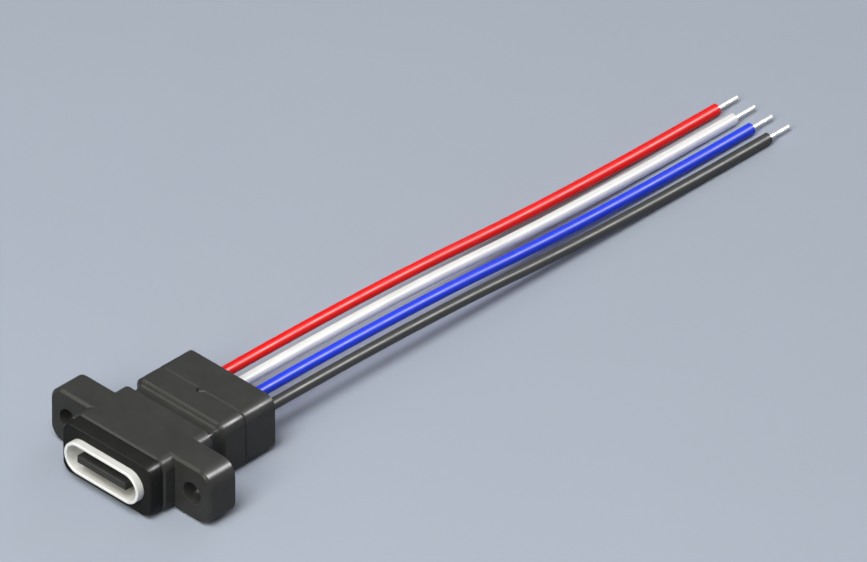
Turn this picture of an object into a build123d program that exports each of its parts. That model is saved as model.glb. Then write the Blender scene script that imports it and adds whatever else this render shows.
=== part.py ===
from build123d import *
import os
from math import radians, tan

# USB-C socket for a panel: a moulded housing with two screw ears, and four flying leads.
# Millimetres. The origin is the centre of the two screw holes, on the front face of the ears.
# +X runs along the ears, +Y back along the leads, +Z up. Stations are distances along Y.

# Screw ears
hole_pitch = 15.0
hole_diameter = 2.1
ear_span = 19.4
ear_thickness = 3.0
ear_corner = 1.5
ear_edge = 0.23

# Body between the ears
housing_height = 5.45
body_width = 11.0
body_corner = 1.1
body_reach = 1.28
body_edge = 0.157
lip_reach = 1.45

# Groove behind the lip
groove_width = 1.505
groove_depth = 0.675
groove_floor = 0.74
cutter_spare = 0.4

# Block behind the groove, shared by the housing and the rear cover
block_width = 10.76
block_corner = 1.0
block_edge = 0.175
block_reach = 2.495
block_wall = 0.75

# Rear cover
parting_gap = 0.05
cover_length = 3.53
cover_edge = 0.17
cover_wall = 1.5
spigot_reach = 0.9
spigot_wall = 0.4
key_reach = 0.5

# Nose insert round the mouth
nose_width = 10.68
nose_height = 5.14
nose_corner = 1.04
nose_thickness = 1.49
nose_edge = 0.1
sleeve_reach = 1.5
sleeve_wall = 0.5

# Receptacle shell
shell_width = 8.94
shell_height = 3.16
shell_sheet = 0.3
shell_length = 7.4
shell_rim = 0.05
rim_reach = 0.7

# Tongue insulator and its stiffening plate
tongue_width = 5.85
tongue_thickness = 0.7
tongue_setback = 0.05
tongue_edge = 0.06
root_width = 6.6
root_thickness = 1.3
root_length = 1.2
base_length = 1.2
plate_width = 5.0
plate_sheet = 0.1
plate_setback = 0.4
plate_anchor = 0.4

# Contacts
contact_pitch = 0.5
contact_width = 0.25
contact_sheet = 0.15
contact_setback = 0.92
signal_setback = 0.45
tail_length = 1.4
joggle_run = 0.3
joggle_end = 0.2

# Circuit board
board_width = 8.2
board_sheet = 0.8
board_clearance = 0.38
slot_width = 0.6
slot_length = 1.5
window_width = 7.4
window_height = 3.1

# Resistors on the board
resistor_length = 1.0
resistor_width = 0.5
resistor_height = 0.35
resistor_spacing = 2.6
resistor_setback = 1.2

# Solder joints in the board's slots
solder_width = 1.2
solder_length = 1.35
solder_height = 0.2
solder_slope = 0.18

# Leads
lead_pitch = 2.08
lead_diameter = 1.06
lead_entry = 0.18
wire_diameter = 0.4
wire_in_slot = 1.4
bare_length = 2.6

# Clearance between pieces that slide together
slip = 0.03

# Stations
body_front = -body_reach
ear_back = ear_thickness
lip_station = ear_back + lip_reach
block_front = lip_station + groove_width
parting = block_front + block_reach
cover_front = parting + parting_gap
cover_back = cover_front + cover_length
cover_inside = cover_back - cover_wall
nose_front = body_front - nose_thickness
rim_station = nose_front - rim_reach
shell_back = rim_station + shell_length
tongue_tip = rim_station + tongue_setback
base_front = shell_back - base_length
root_front = base_front - root_length
board_front = shell_back
board_back = cover_inside - board_clearance
cavity_front = block_front + block_wall
lead_start = cover_inside - lead_entry
wire_start = board_back - wire_in_slot

# Route of every lead as (Y, Z): level out of the cover, then down until it lies on the surface
# that the housing stands on. The arcs between the runs are as large as the runs allow.
lead_route = [(lead_start, 0.0), (30.0, 0.0), (56.0, -2.195), (74.2, -2.195)]
lead_end, resting_level = lead_route[-1]
arc_share = 0.45

# Sections that several pieces share
half_height = housing_height / 2
neck_width = block_width - 2 * groove_depth
neck_height = housing_height - 2 * groove_depth
neck_corner = block_corner - groove_depth
cavity_width = block_width - 2 * block_wall
cavity_height = housing_height - 2 * block_wall
cavity_corner = block_corner - block_wall
spigot_width = cavity_width - 2 * parting_gap
spigot_height = cavity_height - 2 * parting_gap
cover_hollow_width = spigot_width - 2 * spigot_wall
cover_hollow_height = spigot_height - 2 * spigot_wall
sleeve_width = shell_width + 2 * slip + 2 * sleeve_wall
sleeve_height = shell_height + 2 * slip + 2 * sleeve_wall
board_top = board_sheet / 2
contact_top = tongue_thickness / 2

# Pins along +X, seen from the mouth. Ground and supply pins reach nearer to the tongue's tip.
pin_places = (-5.5, -2.5, -1.5, -0.5, 0.5, 1.5, 2.5, 5.5)
upper_pins = dict(zip(("a1", "a4", "a5", "a6", "a7", "a8", "a9", "a12"), pin_places))
lower_pins = dict(zip(("b12", "b9", "b8", "b7", "b6", "b5", "b4", "b1"), pin_places))
power_pins = ("a1", "a4", "a9", "a12", "b12", "b9", "b4", "b1")

# Leads along +X
lead_places = {"red": -1.5, "white": -0.5, "blue": 0.5, "black": 1.5}


def across(station, x=0.0):
    """Plane across the socket at a station, facing back, with its second axis up."""
    return Plane(origin=(x, station, 0), x_dir=(-1, 0, 0), z_dir=(0, 1, 0))


def save(piece, name):
    """Label a finished piece and write it to its own file."""
    piece.label = name
    export_step(piece, f"parts/{name}.step")


def run_arcs(points):
    """Radius at each inner point: the share of the shorter run, over the tangent of half the turn."""
    radii = []
    for before, corner, after in zip(points, points[1:], points[2:]):
        run_in = Vector(corner) - Vector(before)
        run_out = Vector(after) - Vector(corner)
        shorter = min(run_in.length, run_out.length)
        radii.append(arc_share * shorter / tan(radians(run_in.get_angle(run_out) / 2)))
    return radii


os.makedirs("parts", exist_ok=True)

# Groove cutter: the groove's profile swept round half the neck, then mirrored
with BuildPart() as groove:
    with BuildLine(Plane.XZ.offset(-lip_station)) as neck_half:
        FilletPolyline(
            (0, neck_height / 2),
            (neck_width / 2, neck_height / 2),
            (neck_width / 2, -neck_height / 2),
            (0, -neck_height / 2),
            radius=neck_corner,
        )
    with BuildSketch(Plane.YZ) as groove_profile:
        with BuildLine():
            floor_line = Line((lip_station, neck_height / 2), (lip_station + groove_floor, neck_height / 2))
            cove = TangentArc(floor_line @ 1, (block_front, half_height - block_edge), tangent=(1, 0))
            bevel = Line(
                cove @ 1, (block_front + block_edge + cutter_spare, half_height + cutter_spare)
            )
            Polyline(bevel @ 1, (lip_station, half_height + cutter_spare), floor_line @ 0)
        make_face()
    sweep(path=neck_half.wire())
    mirror(about=Plane.YZ)

# Housing: ears, body, neck and the front half of the block, one moulding
with BuildPart() as housing:
    with BuildSketch(across(0)):
        RectangleRounded(ear_span, housing_height, ear_corner)
    extrude(amount=ear_thickness)
    chamfer(housing.faces().sort_by(Axis.Y)[0].edges(), length=ear_edge)
    with BuildSketch(across(body_front)):
        RectangleRounded(body_width, housing_height, body_corner)
    extrude(amount=lip_station - body_front)
    chamfer(housing.faces().sort_by(Axis.Y)[0].edges(), length=body_edge)
    with BuildSketch(across(lip_station)):
        RectangleRounded(block_width, housing_height, block_corner)
    extrude(amount=parting - lip_station)
    add(groove.part, mode=Mode.SUBTRACT)
    # Screw holes through the ears
    with BuildSketch(across(0)):
        with GridLocations(hole_pitch, 0, 2, 1):
            Circle(hole_diameter / 2)
    extrude(amount=ear_thickness, mode=Mode.SUBTRACT)
    # Pockets from the front: the nose insert's sleeve, then the receptacle shell
    with BuildSketch(across(body_front)):
        SlotOverall(sleeve_width + 2 * slip, sleeve_height + 2 * slip)
    extrude(amount=sleeve_reach + slip, mode=Mode.SUBTRACT)
    with BuildSketch(across(body_front)):
        SlotOverall(shell_width + 2 * slip, shell_height + 2 * slip)
    extrude(amount=shell_back - body_front, mode=Mode.SUBTRACT)
    # Window through the neck, with a guide slot for each edge of the board
    with BuildSketch(across(shell_back)):
        Rectangle(window_width, window_height)
        Rectangle(board_width + 2 * slip, board_sheet + 2 * slip)
    extrude(amount=cavity_front - shell_back, mode=Mode.SUBTRACT)
    # Rear cavity that the cover's spigot enters
    with BuildSketch(across(cavity_front)):
        RectangleRounded(cavity_width, cavity_height, cavity_corner)
    extrude(amount=parting - cavity_front, mode=Mode.SUBTRACT)
    # Notch for the cover's key, through the top wall
    with BuildSketch(Plane.XY.offset(half_height)):
        with BuildLine():
            Polyline((-key_reach, parting), (0, parting - key_reach), (key_reach, parting), close=True)
        make_face()
    extrude(amount=-block_wall, mode=Mode.SUBTRACT)
save(housing.part, "housing")

# Rear cover: a cap with a spigot, a V key on top and a hole for each lead
key_base = parting_gap * (2**0.5 - 1)
with BuildPart() as rear_cover:
    with BuildSketch(across(cover_front)):
        RectangleRounded(block_width, housing_height, block_corner)
    extrude(amount=cover_length)
    with BuildSketch(Plane.XY.offset(half_height)):
        with BuildLine():
            Polyline(
                (-key_reach, cover_front + key_base),
                (0, cover_front + key_base - key_reach),
                (key_reach, cover_front + key_base),
                close=True,
            )
        make_face()
    extrude(amount=parting_gap - block_wall)
    top_edges = rear_cover.faces().sort_by(Axis.Z)[-1].edges()
    front_edges = rear_cover.faces().filter_by(Plane.XZ).sort_by(Axis.Y)[0].edges()
    rim_edges = [e for e in front_edges if abs(e.center().X) > key_reach]
    key_edges = [
        e for e in top_edges if abs(e.center().X) < key_reach and e.center().Y < cover_front + key_reach
    ]
    chamfer(rim_edges + key_edges, length=cover_edge)
    with BuildSketch(across(cover_front)):
        RectangleRounded(spigot_width, spigot_height, cavity_corner - parting_gap)
    extrude(amount=-spigot_reach)
    with BuildSketch(across(cover_front - spigot_reach)):
        Rectangle(cover_hollow_width, cover_hollow_height)
    extrude(amount=cover_inside - cover_front + spigot_reach, mode=Mode.SUBTRACT)
    with BuildSketch(across(cover_inside)):
        with GridLocations(lead_pitch, 0, len(lead_places), 1):
            Circle(lead_diameter / 2 + slip)
    extrude(amount=cover_wall, mode=Mode.SUBTRACT)
save(rear_cover.part, "rear_cover")

# Nose insert: the front plate round the mouth, and the sleeve that seats it in the body
with BuildPart() as nose_insert:
    with BuildSketch(across(nose_front)):
        RectangleRounded(nose_width, nose_height, nose_corner)
    extrude(amount=nose_thickness)
    chamfer(nose_insert.faces().sort_by(Axis.Y)[0].edges(), length=nose_edge)
    with BuildSketch(across(body_front)):
        SlotOverall(sleeve_width, sleeve_height)
    extrude(amount=sleeve_reach)
    with BuildSketch(across(nose_front)):
        SlotOverall(shell_width + 2 * slip, shell_height + 2 * slip)
    extrude(amount=nose_thickness + sleeve_reach, mode=Mode.SUBTRACT)
save(nose_insert.part, "nose_insert")

# Receptacle shell: a drawn steel tube of stadium section, with its rim edges broken
with BuildPart() as receptacle_shell:
    with BuildSketch(across(rim_station)):
        SlotOverall(shell_width, shell_height)
        SlotOverall(shell_width - 2 * shell_sheet, shell_height - 2 * shell_sheet, mode=Mode.SUBTRACT)
    extrude(amount=shell_length)
    chamfer(receptacle_shell.faces().sort_by(Axis.Y)[0].edges(), length=shell_rim)
save(receptacle_shell.part, "receptacle_shell")

# Stiffening plate that the tongue is moulded round
with BuildPart() as mid_plate:
    with BuildSketch(across(tongue_tip + plate_setback)):
        Rectangle(plate_width, plate_sheet)
    extrude(amount=shell_back - plate_anchor - tongue_tip - plate_setback)
save(mid_plate.part, "mid_plate")

# Contacts: flush in the tongue's two faces, then stepped out to the two faces of the board
contacts = {}
for row, side in ((upper_pins, 1), (lower_pins, -1)):
    for pin, place in row.items():
        start = tongue_tip + contact_setback + (0 if pin in power_pins else signal_setback)
        step_end = shell_back - joggle_end
        step_start = step_end - joggle_run
        outer = [
            (start, contact_top),
            (step_start, contact_top),
            (step_end, board_top + contact_sheet),
            (board_front + tail_length, board_top + contact_sheet),
        ]
        inner = [(station, height - contact_sheet) for station, height in reversed(outer)]
        outline = [(station, side * height) for station, height in outer + inner]
        with BuildPart() as contact:
            with BuildSketch(Plane.YZ.offset(place * contact_pitch)):
                with BuildLine():
                    Polyline(*outline, close=True)
                make_face()
            extrude(amount=contact_width / 2, both=True)
        contacts[pin] = contact.part
        save(contact.part, f"contact_{pin}")

# Tongue insulator: base in the shell's back end, thick root and thin tongue, moulded round the metal
with BuildPart() as tongue_insulator:
    with BuildSketch(across(tongue_tip)):
        Rectangle(tongue_width, tongue_thickness)
    extrude(amount=shell_back - tongue_tip)
    chamfer(tongue_insulator.faces().sort_by(Axis.Y)[0].edges(), length=tongue_edge)
    with BuildSketch(across(root_front)):
        Rectangle(root_width, root_thickness)
    extrude(amount=shell_back - root_front)
    with BuildSketch(across(base_front)):
        SlotOverall(shell_width - 2 * shell_sheet - 2 * slip, shell_height - 2 * shell_sheet - 2 * slip)
    extrude(amount=base_length)
    add(mid_plate.part, mode=Mode.SUBTRACT)
    add(list(contacts.values()), mode=Mode.SUBTRACT)
save(tongue_insulator.part, "tongue_insulator")

# Circuit board between the two rows of tails, with an open slot for each lead's wire
with BuildPart() as circuit_board:
    with BuildSketch(Plane.XY.offset(-board_top)):
        with Locations((0, (board_front + board_back) / 2)):
            Rectangle(board_width, board_back - board_front)
        with Locations((0, board_back)):
            with GridLocations(lead_pitch, 0, len(lead_places), 1):
                SlotOverall(2 * slot_length, slot_width, rotation=90, mode=Mode.SUBTRACT)
    extrude(amount=board_sheet)
save(circuit_board.part, "circuit_board")

# Resistors that hold the two channel pins down, on top of the board
for number, side in ((1, -1), (2, 1)):
    with BuildPart() as resistor:
        with BuildSketch(Plane.XY.offset(board_top)):
            with Locations((side * resistor_spacing / 2, board_front + tail_length + resistor_setback)):
                Rectangle(resistor_length, resistor_width)
        extrude(amount=resistor_height)
    save(resistor.part, f"resistor_{number}")

# Leads: insulated strand, soldered in the board's slot and stripped at its far end
lead_radii = run_arcs(lead_route)
print("arc radii along a lead:", [round(r, 1) for r in lead_radii])
for colour, place in lead_places.items():
    lead_x = place * lead_pitch
    with BuildPart() as lead:
        with BuildLine(Plane.YZ.offset(lead_x)) as lead_path:
            FilletPolyline(*lead_route, radius=lead_radii)
        with BuildSketch(across(lead_start, lead_x)) as lead_section:
            Circle(lead_diameter / 2)
        sweep(path=lead_path.wire())
    swept = lead_section.sketch.area * lead_path.wire().length
    print(f"{colour}: {lead_path.wire().length:.2f} mm, {lead.part.volume / swept:.5f} of section by length")
    save(lead.part, f"lead_{colour}")

    with BuildPart() as bare_end:
        with BuildSketch(across(lead_end, lead_x)):
            with Locations((0, resting_level)):
                Circle(wire_diameter / 2)
        extrude(amount=bare_length)
    save(bare_end.part, f"bare_end_{colour}")

    with BuildPart() as soldered_end:
        with BuildSketch(across(wire_start, lead_x)):
            Circle(wire_diameter / 2)
        extrude(amount=lead_start - wire_start)
    save(soldered_end.part, f"soldered_end_{colour}")

    with BuildPart() as solder_joint:
        with BuildSketch(Plane.XY.offset(-board_top - solder_height)):
            with Locations((lead_x, board_back - solder_length / 2 - slip)):
                Rectangle(solder_width, solder_length)
        extrude(amount=board_sheet + 2 * solder_height)
        chamfer(solder_joint.faces().filter_by(Axis.Z).edges(), length=solder_slope)
        add(circuit_board.part, mode=Mode.SUBTRACT)
        add(soldered_end.part, mode=Mode.SUBTRACT)
    save(solder_joint.part, f"solder_joint_{colour}")
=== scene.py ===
"""Looks of a panel-mount USB-C socket with two screw ears and four flying leads.

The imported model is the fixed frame. The mouldings, the steel shell and the tongue get rounded
edges, the leads become smooth cords with twisted strands, and every piece gets its finish.
Lengths are in metres.
"""

import logging
import math
from dataclasses import dataclass
from enum import Enum
from functools import cached_property

import bmesh
import bpy
from mathutils import Matrix, Vector

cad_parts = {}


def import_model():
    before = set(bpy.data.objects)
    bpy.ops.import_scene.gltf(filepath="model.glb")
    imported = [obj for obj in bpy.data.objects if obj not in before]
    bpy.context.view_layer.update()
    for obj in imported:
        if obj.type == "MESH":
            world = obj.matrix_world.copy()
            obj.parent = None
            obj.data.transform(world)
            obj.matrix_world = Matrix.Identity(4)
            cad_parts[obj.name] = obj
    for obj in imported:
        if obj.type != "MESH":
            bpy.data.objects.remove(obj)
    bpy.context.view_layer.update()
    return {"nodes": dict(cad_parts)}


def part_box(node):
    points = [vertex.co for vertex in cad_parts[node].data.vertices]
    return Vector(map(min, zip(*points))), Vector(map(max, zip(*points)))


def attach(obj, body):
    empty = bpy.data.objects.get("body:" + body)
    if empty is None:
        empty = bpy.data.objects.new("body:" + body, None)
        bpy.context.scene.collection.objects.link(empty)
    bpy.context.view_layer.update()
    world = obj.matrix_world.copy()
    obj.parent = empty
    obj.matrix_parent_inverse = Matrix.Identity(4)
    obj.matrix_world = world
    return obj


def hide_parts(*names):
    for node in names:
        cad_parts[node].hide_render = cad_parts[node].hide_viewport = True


log = logging.getLogger("socket")

Colour = tuple[float, float, float]
Stretch = tuple[float, float, float]
Direction = tuple[float, float, float]
Pair = tuple[float, float]
Socket = bpy.types.NodeSocket
Nodes = dict[str, bpy.types.Object]

BODY = "root"
UNSTRETCHED: Stretch = (1.0, 1.0, 1.0)
ACROSS_Y = Matrix.Rotation(math.radians(-90), 4, "X")


@dataclass(frozen=True)
class Cloud:
    """A cloud noise in a finish.

    Attributes:
        cells: its cells in a metre.
        detail: its finer layers.
        stretch: the scale along each axis.
        layer_weight: how strongly each finer layer shows.
    """

    cells: float
    detail: float = 3.0
    stretch: Stretch = UNSTRETCHED
    layer_weight: float = 0.55


class Shader:
    """A node material under construction, with short calls for the nodes that the finishes share."""

    def __init__(self, name: str) -> None:
        """Start a material that has a Principled shader and an output.

        Args:
            name: the material's name.
        """
        self.material = bpy.data.materials.new(name)
        self.material.use_nodes = True
        self.nodes = self.material.node_tree.nodes
        self.links = self.material.node_tree.links
        self.surface = self.nodes["Principled BSDF"]

    def add(self, kind: str, inputs: dict | None = None, **options: object) -> bpy.types.Node:
        """Add a node.

        Args:
            kind: the node's type, without its ShaderNode prefix.
            inputs: a value or a linked socket for each named or numbered input.
            options: the node's own settings.

        Returns:
            The new node.
        """
        node = self.nodes.new("ShaderNode" + kind)
        for option, value in options.items():
            setattr(node, option, value)
        for socket, value in (inputs or {}).items():
            if isinstance(value, Socket):
                self.links.new(value, node.inputs[socket])
            else:
                node.inputs[socket].default_value = value
        return node

    def set_surface(self, **values: float | Colour | Socket) -> None:
        """Set or link inputs of the Principled shader.

        Args:
            values: a number, a colour or a linked socket for each input, with underscores for spaces.
        """
        for name, value in values.items():
            socket = self.surface.inputs[name.replace("_", " ")]
            if isinstance(value, Socket):
                self.links.new(value, socket)
            elif isinstance(value, tuple):
                socket.default_value = (*value, 1.0)
            else:
                socket.default_value = value

    def place(self, stretch: Stretch = UNSTRETCHED) -> Socket:
        """Return the piece's own coordinates, scaled along each axis by stretch."""
        point = self.add("TexCoord").outputs["Object"]
        return self.add("Mapping", {"Vector": point, "Scale": stretch}).outputs["Vector"]

    def noise(self, cloud: Cloud) -> Socket:
        """Lay a cloud noise over the piece.

        Args:
            cloud: the noise.

        Returns:
            Its strength, from 0 to 1.
        """
        inputs = {
            "Vector": self.place(cloud.stretch),
            "Scale": cloud.cells,
            "Detail": cloud.detail,
            "Roughness": cloud.layer_weight,
        }
        return self.add("TexNoise", inputs).outputs["Fac"]

    def calculate(self, operation: str, *values: float | Socket) -> Socket:
        """Return what one Math node works out from numbers and linked sockets."""
        return self.add("Math", dict(enumerate(values)), operation=operation).outputs["Value"]

    def between(
        self, share: Socket, low: float, high: float, start: float = 0.3, stop: float = 0.7
    ) -> Socket:
        """Return a number that goes from low to high as share goes from start to stop."""
        inputs = {"Value": share, "From Min": start, "From Max": stop, "To Min": low, "To Max": high}
        return self.add("MapRange", inputs).outputs["Result"]

    def blend(self, share: Socket, first: Colour, second: Colour | Socket) -> Socket:
        """Mix two colours.

        Args:
            share: the second colour's part, from 0 to 1.
            first: the colour at 0.
            second: the colour at 1.

        Returns:
            The mixed colour.
        """
        mix = self.add("Mix", data_type="RGBA")
        self.links.new(share, mix.inputs["Factor"])
        for socket, value in ((mix.inputs[6], first), (mix.inputs[7], second)):
            if isinstance(value, Socket):
                self.links.new(value, socket)
            else:
                socket.default_value = (*value, 1.0)
        return mix.outputs[2]

    def mottle(self, cloud: Cloud, first: Colour, second: Colour) -> Socket:
        """Return a colour that wanders between two colours with a cloud noise."""
        return self.blend(self.between(self.noise(cloud), 0.0, 1.0), first, second)

    def bump(self, height: Socket, depth: float, under: Socket | None = None) -> Socket:
        """Disturb the surface by a height field.

        Args:
            height: the height field, from 0 to 1.
            depth: its full height.
            under: another disturbance that lies under it.

        Returns:
            The disturbed normal.
        """
        inputs = {"Height": height, "Distance": depth, "Strength": 1.0}
        if under is not None:
            inputs["Normal"] = under
        return self.add("Bump", inputs).outputs["Normal"]

    def edge_mask(self, radius: float) -> Socket:
        """Mark the edges of a piece.

        Args:
            radius: how far a mark reaches from its edge.

        Returns:
            1 on outer and inner edges and 0 on open faces.
        """
        rounded = self.add("Bevel", {"Radius": radius}, samples=6).outputs["Normal"]
        plain = self.add("NewGeometry").outputs["Normal"]
        likeness = self.add("VectorMath", {0: rounded, 1: plain}, operation="DOT_PRODUCT")
        on_edge, on_face = 0.80, 0.995
        return self.between(likeness.outputs["Value"], 1.0, 0.0, on_edge, on_face)

    def corner_mask(self) -> Socket:
        """Mark the rounded corners of a piece.

        Returns:
            0 on faces square to the piece's axes and 1 halfway round the corners between them.
        """
        normal = self.add("NewGeometry").outputs["Normal"]
        facing = self.add("VectorMath", {0: normal}, operation="ABSOLUTE").outputs["Vector"]
        x, y, z = self.add("SeparateXYZ", {"Vector": facing}).outputs
        widest = self.calculate("MAXIMUM", self.calculate("MAXIMUM", x, y), z)
        on_corner, on_face = 0.80, 0.97
        return self.between(widest, 1.0, 0.0, on_corner, on_face)


@dataclass(frozen=True)
class Finish:
    """A surface finish.

    Attributes:
        name: the record's material slot that it belongs to.
        colour: its main colour.
    """

    name: str
    colour: Colour

    @cached_property
    def material(self) -> bpy.types.Material:
        """The finish's node material, made when it is first used."""
        shader = Shader(self.name)
        self.dress(shader)
        return shader.material

    def dress(self, shader: Shader) -> None:
        """Give a shader the finish's colour, gloss and relief. Each kind of finish has its own."""
        raise NotImplementedError

    def darker(self, share: float) -> Colour:
        """Return the main colour, darkened by a share."""
        return tuple(channel * (1 - share) for channel in self.colour)


@dataclass(frozen=True)
class MouldedPlastic(Finish):
    """Injection-moulded resin: a spark-eroded grain, faint flow marks, and corners rubbed smoother.

    Attributes:
        worn: the colour of its rubbed edges.
        roughness: the roughness of its open faces.
        specular: the strength of its reflection.
        flow: the marks that the resin left as it filled the mould.
        flow_share: how much darker they are.
        haze: where its gloss varies.
        haze_dip: how much glossier the haze leaves it at most.
        haze_rise: how much duller.
        scuffs: where its edges are rubbed.
        scuff_band: the strengths of that noise between which the rubbing sets in.
        scuff_least: the rubbing that every edge has.
        wear_radius: how far the rubbing reaches from an edge.
        edge_polish: how much glossier the rubbed edges are.
        corner_polish: how much glossier the rounded corners are.
        grain: the texture of the mould.
        grain_depth: its depth.
    """

    worn: Colour
    roughness: float
    specular: float
    flow: Cloud = Cloud(620.0, 4.0)
    flow_share: float = 0.22
    haze: Cloud = Cloud(300.0)
    haze_dip: float = 0.05
    haze_rise: float = 0.06
    scuffs: Cloud = Cloud(2600.0, 5.0)
    scuff_band: tuple[float, float] = (0.40, 0.62)
    scuff_least: float = 0.25
    wear_radius: float = 0.00009
    edge_polish: float = 0.12
    corner_polish: float = 0.28
    grain: Cloud = Cloud(11000.0, 2.0)
    grain_depth: float = 1.6e-6

    def dress(self, shader: Shader) -> None:
        """Give a shader the flow marks, the grain, and the rubbed edges and corners.

        Args:
            shader: the material under construction.
        """
        body = shader.mottle(self.flow, self.darker(self.flow_share), self.colour)
        scuffs = shader.between(shader.noise(self.scuffs), self.scuff_least, 1.0, *self.scuff_band)
        wear = shader.calculate("MULTIPLY", shader.edge_mask(self.wear_radius), scuffs)
        rough = shader.between(
            shader.noise(self.haze), self.roughness - self.haze_dip, self.roughness + self.haze_rise
        )
        for mask, polish in ((wear, self.edge_polish), (shader.corner_mask(), self.corner_polish)):
            rough = shader.calculate("MULTIPLY_ADD", mask, -polish, rough)
        shader.set_surface(
            Base_Color=shader.blend(wear, body, self.worn),
            Roughness=rough,
            Specular_IOR_Level=self.specular,
            Normal=shader.bump(shader.noise(self.grain), self.grain_depth),
        )


@dataclass(frozen=True)
class DrawnMetal(Finish):
    """Drawn or plated metal: fine streaks along the draw, and a little handling haze.

    Attributes:
        roughness: the roughness of the metal.
        metallic: how much of its light is reflected as by bare metal.
        streaks: the marks of drawing.
        streak_depth: their depth.
        streak_gloss: how much the gloss varies with them.
        haze: where it was handled.
        haze_share: how much darker that leaves it.
    """

    roughness: float
    metallic: float = 1.0
    streaks: Cloud = Cloud(5200.0, 4.0, (1.0, 0.03, 1.0))
    streak_depth: float = 0.25e-6
    streak_gloss: float = 0.05
    haze: Cloud = Cloud(420.0, 4.0)
    haze_share: float = 0.1

    def dress(self, shader: Shader) -> None:
        """Give a shader the streaks and the haze.

        Args:
            shader: the material under construction.
        """
        streaks = shader.noise(self.streaks)
        dullest, glossiest = self.roughness + self.streak_gloss, self.roughness - self.streak_gloss
        shader.set_surface(
            Base_Color=shader.mottle(self.haze, self.darker(self.haze_share), self.colour),
            Metallic=self.metallic,
            Roughness=shader.between(streaks, glossiest, dullest),
            Normal=shader.bump(streaks, self.streak_depth),
        )


@dataclass(frozen=True)
class CordSheath(Finish):
    """Extruded insulation: long die lines, a soft waxy gloss and a faint mottling of the dye.

    Attributes:
        roughness: the roughness of the wax.
        specular: the strength of its reflection.
        lines: the marks of the die.
        line_depth: their depth.
        peel: the ripple of the surface.
        peel_depth: its depth.
        gloss_dip: how much glossier the ripple leaves it at most.
        gloss_rise: how much duller.
        dye: where the dye is stronger.
        dye_share: how much darker it is there.
    """

    roughness: float = 0.39
    specular: float = 0.22
    lines: Cloud = Cloud(7000.0, 3.0, (1.0, 0.02, 1.0))
    line_depth: float = 1.2e-6
    peel: Cloud = Cloud(1500.0, 2.0, (1.0, 0.35, 1.0))
    peel_depth: float = 3.0e-6
    gloss_dip: float = 0.04
    gloss_rise: float = 0.05
    dye: Cloud = Cloud(260.0, 4.0)
    dye_share: float = 0.1

    def dress(self, shader: Shader) -> None:
        """Give a shader the dye, the die lines and the ripple.

        Args:
            shader: the material under construction.
        """
        peel = shader.noise(self.peel)
        die_lines = shader.bump(shader.noise(self.lines), self.line_depth)
        shader.set_surface(
            Base_Color=shader.mottle(self.dye, self.darker(self.dye_share), self.colour),
            Roughness=shader.between(
                peel, self.roughness - self.gloss_dip, self.roughness + self.gloss_rise
            ),
            Specular_IOR_Level=self.specular,
            Normal=shader.bump(peel, self.peel_depth, die_lines),
        )


@dataclass(frozen=True)
class SolderMask(Finish):
    """Glass-fibre board under a green solder mask, with the weave just showing through.

    Attributes:
        weave_pitch: the pitch of the glass threads.
        weave_waver: how far the threads stray from straight.
        weave_depth: the depth of the weave.
        weave_share: how much darker the gaps between the threads are.
        haze: where the gloss varies.
        glossiest: the least roughness.
        dullest: the most roughness.
    """

    weave_pitch: float = 0.00045
    weave_waver: float = 0.4
    weave_depth: float = 2.0e-6
    weave_share: float = 0.25
    haze: Cloud = Cloud(900.0)
    glossiest: float = 0.28
    dullest: float = 0.4

    def dress(self, shader: Shader) -> None:
        """Give a shader the weave and the gloss of the lacquer.

        Args:
            shader: the material under construction.
        """
        phase_growth = 20  # radians by which a wave texture turns in one unit
        inputs = {
            "Vector": shader.place(),
            "Scale": math.tau / (phase_growth * self.weave_pitch),
            "Distortion": self.weave_waver,
        }
        threads = [shader.add("TexWave", inputs, bands_direction=axis).outputs["Fac"] for axis in "XY"]
        weave = shader.calculate("MULTIPLY", *threads)
        shader.set_surface(
            Base_Color=shader.blend(weave, self.darker(self.weave_share), self.colour),
            Roughness=shader.between(shader.noise(self.haze), self.glossiest, self.dullest),
            Normal=shader.bump(weave, self.weave_depth),
        )


@dataclass(frozen=True)
class PaleFloor(Finish):
    """A plain pale sheet, which keeps the object's shadow.

    Attributes:
        roughness: the roughness of the sheet.
        specular: the strength of its reflection.
        fibres: where the sheet is denser.
        fibre_share: how much darker it is there.
    """

    roughness: float = 0.85
    specular: float = 0.15
    fibres: Cloud = Cloud(60.0, 4.0)
    fibre_share: float = 0.015

    def dress(self, shader: Shader) -> None:
        """Give a shader the sheet's even colour.

        Args:
            shader: the material under construction.
        """
        shader.set_surface(
            Base_Color=shader.mottle(self.fibres, self.darker(self.fibre_share), self.colour),
            Roughness=self.roughness,
            Specular_IOR_Level=self.specular,
        )


class LeadColour(Enum):
    """The colour code of the four leads: supply, data minus, data plus and ground."""

    RED = (0.95, 0.002, 0.002)
    WHITE = (0.90, 0.90, 0.89)
    BLUE = (0.012, 0.055, 0.92)
    BLACK = (0.052, 0.052, 0.050)

    @property
    def word(self) -> str:
        """The colour's name as the model's nodes spell it."""
        return self.name.lower()


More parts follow.
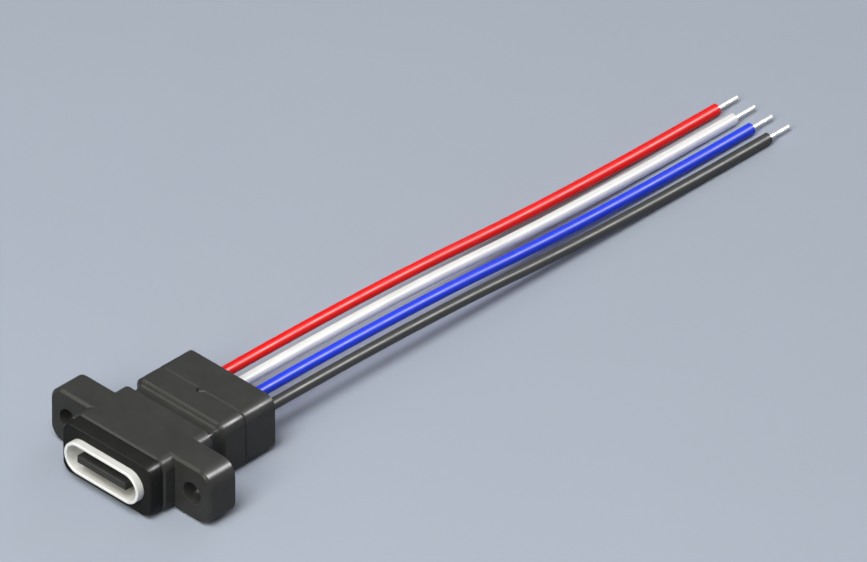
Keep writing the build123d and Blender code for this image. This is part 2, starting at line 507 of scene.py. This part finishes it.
HOUSING_FINISH = MouldedPlastic(
    name="housing_black",
    colour=(0.037, 0.037, 0.0355),
    worn=(0.08, 0.08, 0.075),
    roughness=0.58,
    specular=0.17,
)
NOSE_FINISH = MouldedPlastic(
    name="nose_black",
    colour=(0.0135, 0.0135, 0.0128),
    worn=(0.036, 0.036, 0.033),
    roughness=0.56,
    specular=0.1,
)
TONGUE_FINISH = MouldedPlastic(
    name="tongue_grey",
    colour=(0.042, 0.042, 0.040),
    worn=(0.07, 0.07, 0.067),
    roughness=0.5,
    specular=0.2,
    wear_radius=0.00003,
)
RESISTOR_FINISH = MouldedPlastic(
    name="resistor_black",
    colour=(0.03, 0.03, 0.03),
    worn=(0.3, 0.3, 0.29),
    roughness=0.35,
    specular=0.5,
)
SHELL_FINISH = DrawnMetal(name="shell_steel", colour=(0.95, 0.95, 0.92), roughness=0.38, metallic=0.2)
PLATE_FINISH = DrawnMetal(name="plate_steel", colour=(0.62, 0.62, 0.60), roughness=0.3)
CONTACT_FINISH = DrawnMetal(
    name="contact_gold", colour=(0.83, 0.58, 0.22), roughness=0.2, streak_depth=0.5e-6
)
SOLDER_FINISH = DrawnMetal(
    name="solder_tin",
    colour=(0.72, 0.72, 0.71),
    roughness=0.22,
    streaks=Cloud(5200.0, 4.0, (0.3, 0.3, 0.3)),
)
STRAND_FINISH = DrawnMetal(
    name="wire_tinned",
    colour=(0.86, 0.86, 0.84),
    roughness=0.38,
    metallic=0.6,
    streaks=Cloud(5200.0, 4.0, (0.6, 0.6, 0.6)),
    streak_depth=0.8e-6,
)
BOARD_FINISH = SolderMask(name="board_green", colour=(0.03, 0.16, 0.07))
FLOOR_FINISH = PaleFloor(name="pale_floor", colour=(0.393, 0.438, 0.522))


def new_object(name: str, data: bpy.types.ID) -> bpy.types.Object:
    """Put a new object into the scene.

    Args:
        name: its name.
        data: its mesh, curve, light or camera.

    Returns:
        The new object, at the origin.
    """
    new = bpy.data.objects.new(name, data)
    bpy.context.scene.collection.objects.link(new)
    return new


def new_piece(name: str, shape: bmesh.types.BMesh) -> bpy.types.Object:
    """Turn a finished bmesh into an object at the origin.

    Args:
        name: the name of the object and its mesh.
        shape: the bmesh, which is freed.

    Returns:
        The new object.
    """
    mesh = bpy.data.meshes.new(name)
    shape.to_mesh(mesh)
    shape.free()
    return new_object(name, mesh)


def sharp_edges(shape: bmesh.types.BMesh, angle: float) -> list[bmesh.types.BMEdge]:
    """Return the edges where two faces turn by more than an angle."""
    return [e for e in shape.edges if e.is_manifold and e.calc_face_angle() > angle]


def only(kind: type, geometry: list) -> list:
    """Return the corners, the edges or the faces alone of what a bmesh operator made."""
    return [part for part in geometry if isinstance(part, kind)]


def settle_order(shape: bmesh.types.BMesh) -> None:
    """List edges and faces in the order of their corners, because spin lists them in any order.

    Args:
        shape: the bmesh.
    """
    shape.verts.index_update()
    for parts in (shape.edges, shape.faces):
        ordered = sorted(parts, key=lambda part: sorted(v.index for v in part.verts))
        rank = {part: number for number, part in enumerate(ordered)}
        parts.sort(key=rank.get)


def look_along(viewer: bpy.types.Object, direction: Vector) -> None:
    """Turn a lamp or a camera to look along a direction."""
    viewer.rotation_mode = "QUATERNION"
    viewer.rotation_quaternion = direction.to_track_quat("-Z", "Y")


def shade_smooth(piece: bpy.types.Object, sharp: float = math.radians(40)) -> None:
    """Shade a mesh smooth, with the normals of its broad faces kept flat.

    Args:
        piece: the object.
        sharp: the angle from which an edge stays sharp.
    """
    piece.data.shade_smooth()
    piece.data.set_sharp_from_angle(angle=sharp)
    keeper = piece.modifiers.new("flat_faces", "WEIGHTED_NORMAL")
    keeper.keep_sharp = True


def finish_piece(piece: bpy.types.Object, finish: Finish) -> None:
    """Dress a new piece and let it ride on the socket.

    Args:
        piece: the object.
        finish: its finish.
    """
    piece.data.materials.clear()
    piece.data.materials.append(finish.material)
    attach(piece, BODY)


def dress_nodes(nodes: Nodes, start: str, finish: Finish) -> None:
    """Dress the nodes whose names start with a word.

    Args:
        nodes: the frame's nodes by name.
        start: the start of their names.
        finish: their finish.
    """
    for name in sorted(n for n in nodes if n.startswith(start)):
        for slot in nodes[name].material_slots:
            slot.material = finish.material
        log.info("node %s: %s", name, finish.name)


@dataclass(frozen=True)
class RoundedEdges:
    """A copy of a node with its sharp edges rounded, which stands for the node.

    Attributes:
        node: the node's name.
        piece: the new piece's name.
        radius: the edge radius.
        segments: the steps round each edge.
        merge_distance: the distance within which corners of its triangles are one.
        flat_angle: the largest angle between triangles of one flat face.
        sharp_angle: the angle from which an edge is rounded.
    """

    node: str
    piece: str
    radius: float
    segments: int = 3
    merge_distance: float = 2e-7
    flat_angle: float = math.radians(0.2)
    sharp_angle: float = math.radians(30)

    def model(self, source: bpy.types.Object) -> bpy.types.Object:
        """Merge a copy of the node's triangles into faces and round its sharp edges.

        Args:
            source: the node's object.

        Returns:
            The new piece, in the node's place.
        """
        shape = bmesh.new()
        shape.from_mesh(source.data)
        bmesh.ops.remove_doubles(shape, verts=shape.verts, dist=self.merge_distance)
        bmesh.ops.dissolve_limit(shape, angle_limit=self.flat_angle, verts=shape.verts, edges=shape.edges)
        bmesh.ops.bevel(
            shape,
            geom=sharp_edges(shape, self.sharp_angle),
            offset=self.radius,
            offset_type="OFFSET",
            segments=self.segments,
            profile=0.5,
            affect="EDGES",
            material=-1,
            clamp_overlap=True,
        )
        piece = new_piece(self.piece, shape)
        shade_smooth(piece)
        return piece

    def build(self, nodes: Nodes, finish: Finish) -> None:
        """Make the piece, dress it and let it stand for its node.

        Args:
            nodes: the frame's nodes by name.
            finish: the piece's finish.
        """
        piece = self.model(nodes[self.node])
        finish_piece(piece, finish)
        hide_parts(self.node)
        log.info("%s: %d faces", piece.name, len(piece.data.polygons))


@dataclass(frozen=True)
class Mouldings:
    """The housing, its rear cover and the nose insert.

    Attributes:
        nodes: the frame's nodes by name.
        body_edge: the edge radius of the housing and its cover.
        nose_edge: the edge radius of the nose insert.
    """

    nodes: Nodes
    body_edge: float = 0.00005
    nose_edge: float = 0.00003

    def build(self) -> None:
        """Build the three mouldings."""
        RoundedEdges("housing", "housing_moulding", self.body_edge).build(self.nodes, HOUSING_FINISH)
        RoundedEdges("rear_cover", "cover_moulding", self.body_edge).build(self.nodes, HOUSING_FINISH)
        RoundedEdges("nose_insert", "nose_moulding", self.nose_edge).build(self.nodes, NOSE_FINISH)


@dataclass(frozen=True)
class Receptacle:
    """The steel shell, the tongue, its stiffening plate and the contacts.

    Attributes:
        nodes: the frame's nodes by name.
        shell_edge: the edge radius of the shell.
        tongue_edge: the edge radius of the tongue.
        tongue_segments: the steps round each edge of the tongue.
    """

    nodes: Nodes
    shell_edge: float = 0.00002
    tongue_edge: float = 0.00002
    tongue_segments: int = 2

    def build(self) -> None:
        """Build the shell and the tongue, and dress the metal in the tongue."""
        shell = RoundedEdges("receptacle_shell", "drawn_shell", self.shell_edge)
        shell.build(self.nodes, SHELL_FINISH)
        tongue = RoundedEdges(
            "tongue_insulator", "tongue_moulding", self.tongue_edge, self.tongue_segments
        )
        tongue.build(self.nodes, TONGUE_FINISH)
        dress_nodes(self.nodes, "contact_", CONTACT_FINISH)
        dress_nodes(self.nodes, "mid_plate", PLATE_FINISH)


@dataclass(frozen=True)
class BoardAssembly:
    """The circuit board inside, with its resistors, its solder joints and the strands in them.

    Attributes:
        nodes: the frame's nodes by name.
    """

    nodes: Nodes

    def build(self) -> None:
        """Dress the board and what is soldered on it."""
        dress_nodes(self.nodes, "circuit_board", BOARD_FINISH)
        dress_nodes(self.nodes, "resistor_", RESISTOR_FINISH)
        dress_nodes(self.nodes, "solder_joint_", SOLDER_FINISH)
        dress_nodes(self.nodes, "soldered_end_", STRAND_FINISH)


@dataclass(frozen=True)
class StrippedLip:
    """The swollen lip that the stripping blade left round a sheath's end.

    Attributes:
        sheath_radius: the radius of the sheath.
        swell: the lip's radius as a multiple of that.
        reach: its length.
        mouth: the radius of the mouth that the strand comes out of.
        inside: the share of its length that lies within the sheath.
        dish: how far its face is dished towards the mouth, as a share of its length.
        sink: how deep the mouth is, as a share of its length.
        rim: the radius of its edges, as a share of its length.
        rim_segments: the steps round each of them.
        sharp_angle: the angle from which an edge is rounded.
        sides: the flats round it.
    """

    sheath_radius: float
    swell: float = 1.01
    reach: float = 0.00010
    mouth: float = 0.00024
    inside: float = 0.6
    dish: float = 1 / 4
    sink: float = 1 / 2
    rim: float = 1 / 3
    rim_segments: int = 3
    sharp_angle: float = math.radians(30)
    sides: int = 48

    def model(self, name: str, end: Vector) -> bpy.types.Object:
        """Model the lip.

        Args:
            name: the piece's name.
            end: the centre of the sheath's cut end.

        Returns:
            The new piece.
        """
        shape = bmesh.new()
        radius = self.sheath_radius * self.swell
        disc = bmesh.ops.create_circle(shape, cap_ends=True, segments=self.sides, radius=radius)
        face = disc["verts"][0].link_faces[0]
        rise = bmesh.ops.extrude_face_region(shape, geom=[face])
        top = only(bmesh.types.BMVert, rise["geom"])
        bmesh.ops.translate(shape, verts=top, vec=(0, 0, self.reach))
        crown = only(bmesh.types.BMFace, rise["geom"])[0]
        bmesh.ops.inset_region(
            shape, faces=[crown], thickness=radius - self.mouth, depth=-self.dish * self.reach
        )
        floor = bmesh.ops.extrude_discrete_faces(shape, faces=[crown])["faces"][0]
        bmesh.ops.translate(shape, verts=floor.verts[:], vec=(0, 0, -self.sink * self.reach))
        bmesh.ops.bevel(
            shape,
            geom=sharp_edges(shape, self.sharp_angle),
            offset=self.rim * self.reach,
            segments=self.rim_segments,
            profile=0.5,
            affect="EDGES",
            material=-1,
        )
        bmesh.ops.transform(shape, matrix=ACROSS_Y, verts=shape.verts)
        bmesh.ops.translate(shape, verts=shape.verts, vec=end - Vector((0, self.inside * self.reach, 0)))
        bmesh.ops.recalc_face_normals(shape, faces=shape.faces)
        lip = new_piece(name, shape)
        shade_smooth(lip)
        return lip


@dataclass(frozen=True)
class TwistedStrand:
    """A bare strand: wires twisted together and fused by their tinning.

    Attributes:
        bare_length: its length outside the sheath.
        radius: its radius.
        hidden: its length inside the sheath.
        wires: the wires that show round it.
        wire_sides: the flats across each of them.
        furrow: how deep the tin leaves the furrows between them, as a share of the radius.
        lay: the length of a full turn.
        steps: the rings along it.
        dome: the shrink and the advance of each ring of its tip, the advance as a share of the radius.
        crease: the angle from which an edge stays sharp.
    """

    bare_length: float
    radius: float = 0.0002
    hidden: float = 0.0004
    wires: int = 6
    wire_sides: int = 12
    furrow: float = 0.07
    lay: float = 0.0075
    steps: int = 26
    dome: tuple[Pair, ...] = ((0.93, 0.10), (0.70, 0.13), (0.35, 0.09))
    crease: float = math.radians(60)

    def section(self, shape: bmesh.types.BMesh, start: Vector) -> None:
        """Draw the furrowed outline of the wires at the strand's start.

        Args:
            shape: the bmesh to draw it in.
            start: the centre of the outline.
        """
        sides = self.wire_sides * self.wires
        ring = bmesh.ops.create_circle(shape, segments=sides, radius=self.radius)["verts"]
        for vertex in ring:
            around = math.atan2(vertex.co.y, vertex.co.x)
            vertex.co *= 1 - self.furrow * (0.5 - 0.5 * math.cos(self.wires * around))
        bmesh.ops.transform(shape, matrix=ACROSS_Y, verts=ring)
        bmesh.ops.translate(shape, verts=ring, vec=start)

    def model(self, name: str, end: Vector) -> bpy.types.Object:
        """Model the strand.

        Args:
            name: the piece's name.
            end: the centre of the sheath's cut end.

        Returns:
            The new piece.
        """
        shape = bmesh.new()
        length = self.bare_length + self.hidden
        start = end - Vector((0, self.hidden, 0))
        self.section(shape, start)
        turned = bmesh.ops.spin(
            shape,
            geom=shape.edges[:],
            cent=start,
            axis=(0, 1, 0),
            dvec=(0, length / self.steps, 0),
            angle=math.tau * length / self.lay,
            steps=self.steps,
        )
        rim = only(bmesh.types.BMEdge, turned["geom_last"])
        tip = Matrix.Translation(-start - Vector((0, length, 0)))
        for shrink, advance in self.dome:
            grown = bmesh.ops.extrude_edge_only(shape, edges=rim)["geom"]
            rim = only(bmesh.types.BMEdge, grown)
            ring = only(bmesh.types.BMVert, grown)
            bmesh.ops.scale(shape, vec=(shrink, 1, shrink), space=tip, verts=ring)
            bmesh.ops.translate(shape, verts=ring, vec=(0, advance * self.radius, 0))
        bmesh.ops.holes_fill(shape, edges=[e for e in shape.edges if e.is_boundary], sides=0)
        dome_height = sum(advance for _, advance in self.dome) * self.radius
        bmesh.ops.translate(shape, verts=shape.verts, vec=(0, -dome_height, 0))
        bmesh.ops.recalc_face_normals(shape, faces=shape.faces)
        settle_order(shape)
        strand = new_piece(name, shape)
        shade_smooth(strand, self.crease)
        return strand


@dataclass(frozen=True)
class Lead:
    """One lead: its sheath, the lip where it was stripped, and its bare strand.

    Attributes:
        colour: the lead's place in the colour code.
        x: the lead's place along the ears.
        route: the points that the lead follows, as (Y, Z).
        length: the real length of the sheath.
        diameter: its diameter.
        exit_y: where it leaves the rear cover; not used.
        bare_length: the length that was stripped.
        path_resolution: the steps along each stretch of its curve.
        section_resolution: the fineness of its round section.
    """

    colour: LeadColour
    x: float
    route: tuple[Pair, ...] = ((0.01035, 0.0), (0.030, 0.0), (0.056, -0.002195), (0.0742, -0.002195))
    length: float = 0.0639
    diameter: float = 0.00106
    exit_y: float = 0.01203
    bare_length: float = 0.0026
    path_resolution: int = 16
    section_resolution: int = 10

    def sheath(self) -> bpy.types.Object:
        """Model the sheath, a smooth curve along the route.

        Returns:
            The new piece.
        """
        curve = bpy.data.curves.new(f"sheath_{self.colour.word}", "CURVE")
        curve.dimensions = "3D"
        spline = curve.splines.new("NURBS")
        spline.points.add(len(self.route) - 1)
        for point, (y, z) in zip(spline.points, self.route):
            point.co = (self.x, y, z, 1.0)
        spline.order_u = 3
        spline.use_endpoint_u = True
        spline.resolution_u = self.path_resolution
        curve.bevel_depth = self.diameter / 2
        curve.bevel_resolution = self.section_resolution
        curve.use_fill_caps = True
        return new_object(curve.name, curve)

    def build(self) -> None:
        word = self.colour.word
        end = Vector((self.x, *self.route[-1]))
        sheath = self.sheath()
        lip = StrippedLip(self.diameter / 2).model(f"stripped_lip_{word}", end)
        strand = TwistedStrand(self.bare_length).model(f"strand_{word}", end)
        insulation = CordSheath(f"lead_{word}", self.colour.value)
        finish_piece(sheath, insulation)
        finish_piece(lip, insulation)
        finish_piece(strand, STRAND_FINISH)
        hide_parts(f"lead_{word}")
        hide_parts(f"bare_end_{word}")
        log.info("lead %s: %.1f mm", word, self.length * 1000)


@dataclass(frozen=True)
class SoftLamp:
    """A square soft light.

    Attributes:
        name: the lamp's name.
        toward: the direction from the socket to the lamp.
        size: its side.
        power: its power in watts.
        tint: its colour.
        gloss_only: whether it draws highlights alone.
    """

    name: str
    toward: Direction
    size: float
    power: float
    tint: Colour = (1.0, 1.0, 1.0)
    gloss_only: bool = False

    def hang(self, centre: Vector, reach: float) -> None:
        """Hang the lamp, turned towards the socket.

        Args:
            centre: the point that the lamps hang round.
            reach: their distance from it.
        """
        data = bpy.data.lights.new(self.name, "AREA")
        data.shape = "SQUARE"
        data.size = self.size
        data.energy = self.power
        data.color = self.tint
        lamp = new_object(self.name, data)
        toward = Vector(self.toward)
        lamp.location = centre + toward.normalized() * reach
        look_along(lamp, -toward)
        lamp.visible_diffuse = not self.gloss_only


@dataclass(frozen=True)
class Studio:
    """The pale floor, the soft lights and the camera at the photograph's angle.

    Attributes:
        floor_level: the height of the surface that the socket rests on.
        floor_gap: how far the floor lies under it.
        floor_size: the floor's side.
        aim: the point in the middle of the picture, at the height where the leads leave the cover.
        distance: the camera's distance from it.
        lens: the camera's focal length in millimetres, so long that perspective hardly shows.
        lamp_reach: the lamps' distance.
        lamps: the lamps.
        world: the colour of the light from all sides.
        world_strength: its strength.
        backdrop: the colour behind the floor's far edge.
    """

    floor_level: float
    floor_gap: float = 0.00001
    floor_size: float = 6.0
    aim: Vector = Vector((-0.000028, 0.036433, 0.0))
    distance: float = 2.0628
    lens: float = 1000.0
    lamp_reach: float = 0.5
    lamps: tuple[SoftLamp, ...] = (
        SoftLamp("key", (0.12, -0.4, 0.9), 0.26, 1.8),
        SoftLamp("front", (0.25, -1.0, 0.62), 0.2, 1.15, (1.0, 0.98, 0.86)),
        SoftLamp("back", (-0.3, 1.0, 0.25), 0.3, 0.8),
        SoftLamp("sheen", (0.43, 0.58, 0.69), 0.17, 6.0, gloss_only=True),
        SoftLamp("rim", (-1.0, -1.0, 1.0), 0.2, 0.6, (1.0, 0.99, 0.90), gloss_only=True),
    )
    world: Colour = (0.80, 0.80, 0.81)
    world_strength: float = 0.25
    backdrop: Colour = (0.403, 0.448, 0.532)

    def floor(self) -> None:
        """Lay the floor under the socket and its leads."""
        shape = bmesh.new()
        bmesh.ops.create_grid(shape, x_segments=1, y_segments=1, size=self.floor_size / 2)
        bmesh.ops.translate(shape, verts=shape.verts, vec=(0, 0, self.floor_level - self.floor_gap))
        floor = new_piece("studio_floor", shape)
        floor.data.materials.append(FLOOR_FINISH.material)

    def camera(self) -> None:
        """Set the camera along the photograph's line of sight, an even view of three faces."""
        back = Vector((1, -1, 1)).normalized()
        data = bpy.data.cameras.new("camera")
        data.lens = self.lens
        data.clip_end = 10 * self.distance
        camera = new_object("camera", data)
        camera.location = self.aim + back * self.distance
        look_along(camera, -back)
        bpy.context.scene.camera = camera

    def sky(self) -> None:
        """Fill the world with an even pale light, behind a backdrop as pale as the floor."""
        world = bpy.data.worlds.new("studio_world")
        bpy.context.scene.world = world
        world.use_nodes = True
        nodes, links = world.node_tree.nodes, world.node_tree.links
        light = nodes["Background"]
        light.inputs["Color"].default_value = (*self.world, 1.0)
        light.inputs["Strength"].default_value = self.world_strength
        backdrop = nodes.new("ShaderNodeBackground")
        backdrop.inputs["Color"].default_value = (*self.backdrop, 1.0)
        mix = nodes.new("ShaderNodeMixShader")
        links.new(nodes.new("ShaderNodeLightPath").outputs["Is Camera Ray"], mix.inputs["Fac"])
        links.new(light.outputs["Background"], mix.inputs[1])
        links.new(backdrop.outputs["Background"], mix.inputs[2])
        links.new(mix.outputs["Shader"], nodes["World Output"].inputs["Surface"])

    def build(self) -> None:
        """Build the whole studio."""
        self.floor()
        lamp_centre = self.aim * 0.5  # halfway from the ears to the middle of the picture
        for lamp in self.lamps:
            lamp.hang(lamp_centre, self.lamp_reach)
        self.camera()
        self.sky()
        bpy.context.scene.view_settings.view_transform = "Standard"


def main() -> None:
    """Load the frame, and build each sub-assembly and the studio."""
    logging.basicConfig(level=logging.INFO, format="%(name)s: %(message)s")
    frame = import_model()
    nodes = frame["nodes"]
    Mouldings(nodes).build()
    Receptacle(nodes).build()
    BoardAssembly(nodes).build()
    for colour in LeadColour:
        low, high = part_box(f"lead_{colour.word}")
        Lead(colour, (low.x + high.x) / 2).build()
    Studio(floor_level=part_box("housing")[0].z).build()


if __name__ == "__main__":
    main()
